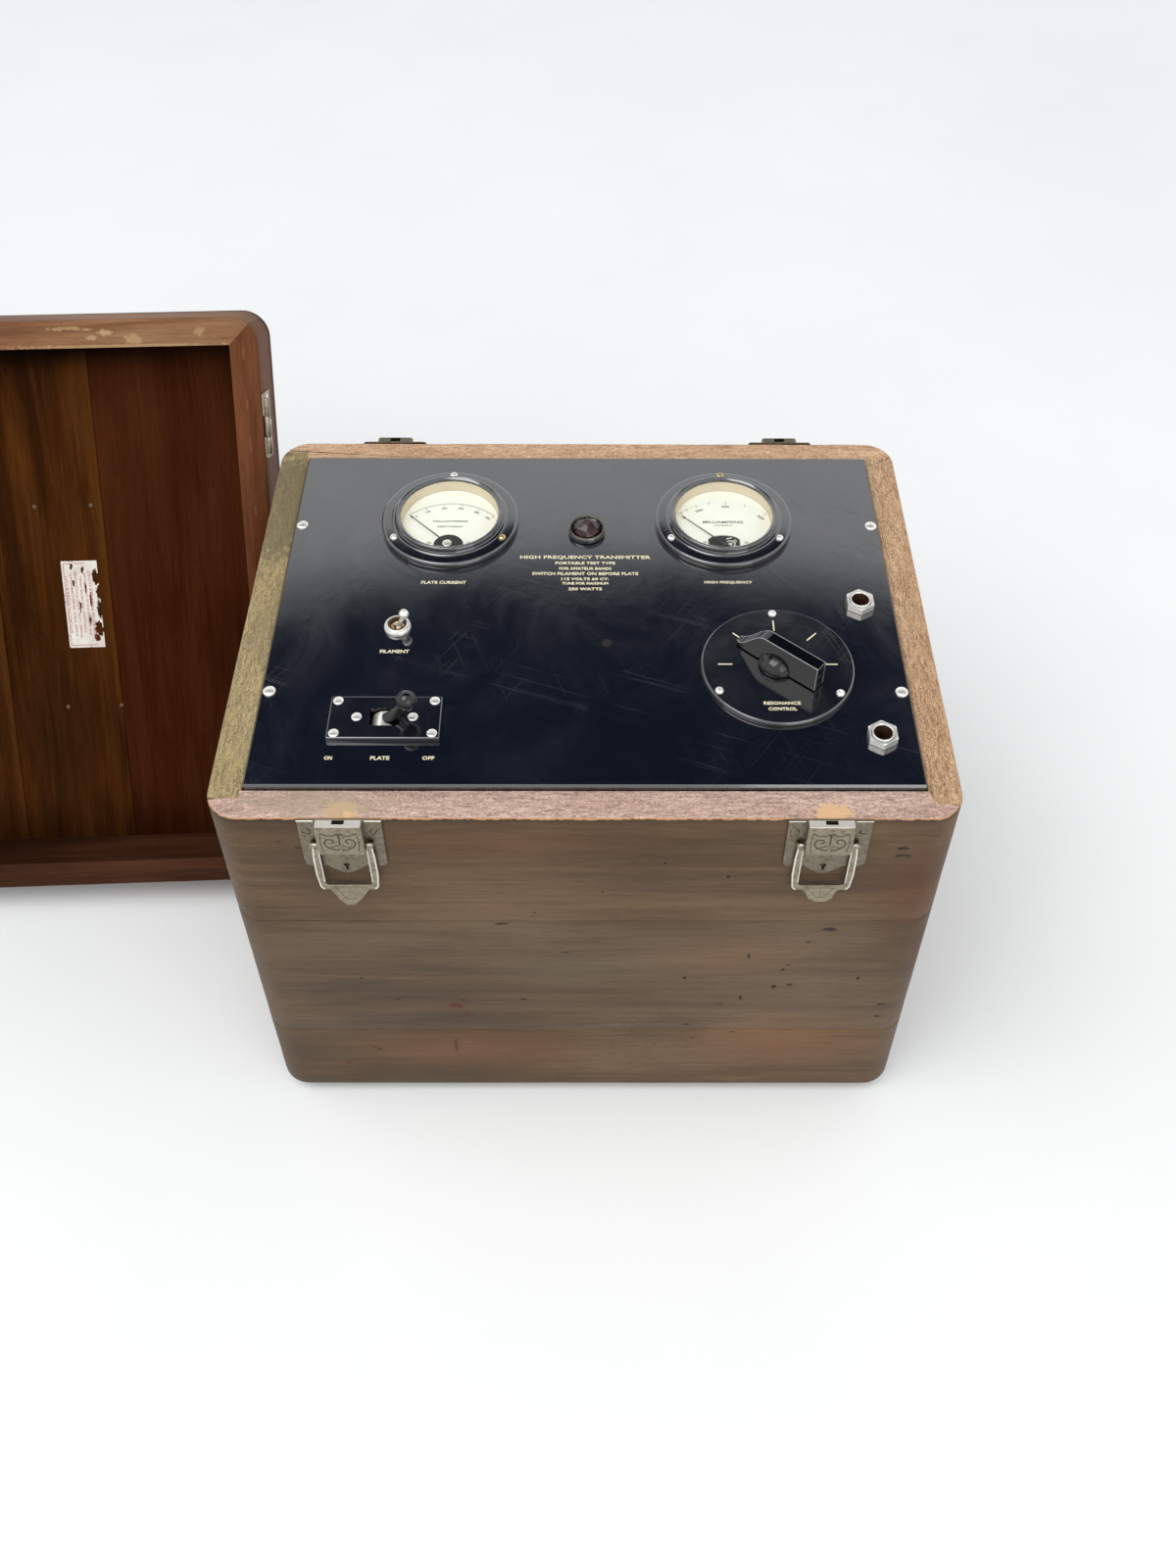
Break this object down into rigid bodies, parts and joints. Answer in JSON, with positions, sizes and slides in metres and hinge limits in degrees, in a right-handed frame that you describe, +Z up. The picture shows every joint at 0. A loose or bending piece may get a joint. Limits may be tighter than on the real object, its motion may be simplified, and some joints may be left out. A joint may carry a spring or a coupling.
{
  "type": "portable high-frequency transmitter",
  "caption": "Wooden-cased portable valve transmitter with black control panel, two meters, tuning knob, switches and output jacks; lift-off lid with handle stands beside it.",
  "frame": {"origin": "on the floor plane, at the middle of the footprint of case and lid together", "axes": "+X to the operator's right, +Y away from the operator, +Z up; the feet and the lid's lowest edge rest on z = 0"},
  "size_m": [0.7585, 0.4214, 0.3888],
  "materials": {
    "case_wood": "worn stained wood, fine grain, dulled grey-brown",
    "lid_wood": "dark reddish mahogany stain, satin",
    "foot_rubber": "matte black",
    "black_bakelite": "polished black with fine scratches",
    "dial_card": "printed cream card",
    "meter_glass": "clear",
    "needle_black": "matte black",
    "ruby_glass": "faceted dark ruby",
    "valve_glass": "clear",
    "brown_phenolic": "brown moulded",
    "chassis_steel": "grey crackle",
    "condenser_aluminium": "plain",
    "coil_copper": "bare copper, dull",
    "handle_leather": "worn dark brown",
    "bright_nickel": "nickel plate, lightly tarnished",
    "aged_nickel": "nickel plate, dull and stained"
  },
  "bodies": {
    "case": {"case_front": "case_wood", "case_right": "case_wood", "case_back": "case_wood", "case_left": "case_wood", "case_floor": "case_wood", "foot_front_left": "foot_rubber", "foot_back_left": "foot_rubber", "foot_front_right": "foot_rubber", "foot_back_right": "foot_rubber", "panel_ledge": "case_wood", "control_panel": "black_bakelite", "meter_case_left": "black_bakelite", "meter_dial_left": "dial_card", "meter_glass_left": "meter_glass", "meter_case_right": "black_bakelite", "meter_dial_right": "dial_card", "meter_glass_right": "meter_glass", "pilot_bezel": "black_bakelite", "pilot_jewel": "ruby_glass", "pilot_lamp": "brown_phenolic", "filament_switch_body": "brown_phenolic", "filament_switch_nut": "bright_nickel", "plate_switch_plate": "black_bakelite", "plate_switch_body": "brown_phenolic", "resonance_plate": "black_bakelite", "tuning_condenser_frame": "condenser_aluminium", "output_jack_rear": "bright_nickel", "output_jack_front": "bright_nickel", "jack_nut_rear": "bright_nickel", "jack_nut_front": "bright_nickel", "catch_left": "aged_nickel", "catch_right": "aged_nickel", "hinge_socket_left": "aged_nickel", "hinge_socket_right": "aged_nickel", "chassis": "chassis_steel", "power_transformer": "chassis_steel", "oscillator_valve_left": "valve_glass", "oscillator_valve_right": "valve_glass", "tank_coil": "coil_copper", "rf_choke": "brown_phenolic", "plate_condenser": "brown_phenolic"},
    "needle_left": {"meter_needle_left": "needle_black"},
    "needle_right": {"meter_needle_right": "needle_black"},
    "filament_lever": {"filament_lever": "bright_nickel"},
    "plate_lever": {"plate_lever": "black_bakelite"},
    "tuner": {"resonance_knob": "black_bakelite", "tuning_condenser_rotor": "condenser_aluminium"},
    "bail_left": {"catch_bail_left": "aged_nickel"},
    "bail_right": {"catch_bail_right": "aged_nickel"},
    "lid": {"lid_frame": "lid_wood", "lid_board": "case_wood", "lid_hinge_left": "aged_nickel", "lid_hinge_right": "aged_nickel", "lid_strike_left": "aged_nickel", "lid_strike_right": "aged_nickel", "handle_bracket_left": "aged_nickel", "handle_bracket_right": "aged_nickel"},
    "tongue_left": {"hinge_tongue_left": "aged_nickel"},
    "tongue_right": {"hinge_tongue_right": "aged_nickel"},
    "handle": {"carry_handle": "handle_leather"}
  },
  "joints": [
    {"name": "needle_left_swing", "type": "hinge", "parent": "case", "child": "needle_left", "pos_m": [0.0807, 0.0102, 0.32116], "axis": [0, 0, 1], "range_deg": [-90, 0], "stiffness_Nm_per_rad": 0.00002},
    {"name": "needle_right_swing", "type": "hinge", "parent": "case", "child": "needle_right", "pos_m": [0.2587, 0.0102, 0.32116], "axis": [0, 0, 1], "range_deg": [-90, 0], "stiffness_Nm_per_rad": 0.00002},
    {"name": "filament_toggle", "type": "hinge", "parent": "case", "child": "filament_lever", "pos_m": [0.055, -0.0626, 0.32016], "axis": [0, 1, 0], "range_deg": [-40, 0]},
    {"name": "plate_toggle", "type": "hinge", "parent": "case", "child": "plate_lever", "pos_m": [0.0546, -0.1358, 0.31516], "axis": [0, 1, 0], "range_deg": [-59, 0]},
    {"name": "resonance_turn", "type": "hinge", "parent": "case", "child": "tuner", "pos_m": [0.2834, -0.0949, 0.32116], "axis": [0, 0, 1], "range_deg": [-140, 40]},
    {"name": "bail_left_swing", "type": "hinge", "parent": "case", "child": "bail_left", "pos_m": [0.0352, -0.20515, 0.2975], "axis": [-1, 0, 0], "range_deg": [0, 170]},
    {"name": "bail_right_swing", "type": "hinge", "parent": "case", "child": "bail_right", "pos_m": [0.3042, -0.20515, 0.2975], "axis": [-1, 0, 0], "range_deg": [0, 170]},
    {"name": "lid_lift", "type": "slide", "parent": "case", "child": "lid", "axis": [0, 0, 1], "range_m": [0, 0.36]},
    {"name": "tongue_left_swing", "type": "hinge", "parent": "lid", "child": "tongue_left", "pos_m": [-0.04751, -0.00533, 0.09093], "axis": [0.0211, -0.5026, -0.8643], "range_deg": [0, 180]},
    {"name": "tongue_right_swing", "type": "hinge", "parent": "lid", "child": "tongue_right", "pos_m": [-0.05314, 0.12886, 0.3217], "axis": [0.0211, -0.5026, -0.8643], "range_deg": [0, 180]},
    {"name": "handle_swing", "type": "hinge", "parent": "lid", "child": "handle", "pos_m": [-0.21369, 0.10647, 0.17633], "axis": [-0.0211, 0.5026, 0.8643], "range_deg": [-84, 84]}
  ]
}
